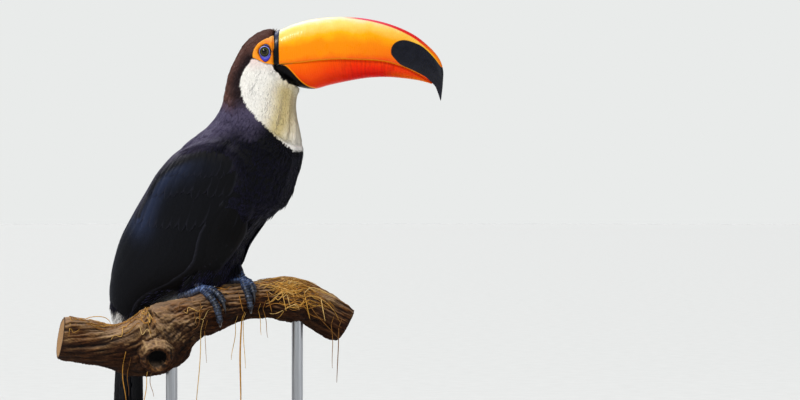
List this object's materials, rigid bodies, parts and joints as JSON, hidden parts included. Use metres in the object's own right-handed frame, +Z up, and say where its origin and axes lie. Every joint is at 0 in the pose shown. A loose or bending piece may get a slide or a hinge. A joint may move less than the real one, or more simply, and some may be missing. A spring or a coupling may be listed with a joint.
{
  "type": "toco toucan model",
  "caption": "Life-size still model of a toco toucan gripping a cut length of branch, held over a flat base by rods.",
  "frame": {"origin": "middle of the underside of the stand's flat base", "axes": "+Z up; +X the way the bird's bill points, and the way the perch runs; +Y to the bird's left. The right side of the bird looks towards -Y."},
  "size_m": [0.4021, 0.196, 0.4657],
  "materials": {
    "black_feather": "soft matt feathers, black with a faint blue and purple sheen",
    "white_feather": "soft matt feathers, creamy white",
    "brown_feather": "soft matt hair-like feathers, brown-black",
    "face_skin": "bare wrinkled skin, orange with a blue ring at the eye",
    "foot_skin": "scaly skin, slate blue, half matt",
    "claw_horn": "horn, black, half gloss",
    "bill_orange": "horn, yellow to orange and red with a black tip, half gloss",
    "bill_red": "horn, orange to deep red, half gloss",
    "eye": "wet gloss, dark brown with a black pupil",
    "bark": "rough fibrous bark, matt",
    "bark_fibre": "loose golden bark fibres, matt",
    "walnut": "oiled walnut, satin",
    "steel": "satin"
  },
  "bodies": {
    "root": {"head": "brown_feather", "neck": "white_feather", "trunk": "black_feather", "tail": "black_feather", "wing_right": "black_feather", "wing_left": "black_feather", "leg_right": "black_feather", "leg_left": "black_feather", "foot_right": "foot_skin", "foot_left": "foot_skin", "claw_right_1": "claw_horn", "claw_right_2": "claw_horn", "claw_right_3": "claw_horn", "claw_right_4": "claw_horn", "claw_left_1": "claw_horn", "claw_left_2": "claw_horn", "claw_left_3": "claw_horn", "claw_left_4": "claw_horn", "bill_upper": "bill_orange", "bill_lower": "bill_red", "eye_right": "eye", "eye_left": "eye", "perch": "bark", "stand_base": "walnut", "stand_rod_1": "steel", "stand_rod_2": "steel"}
  },
  "joints": []
}
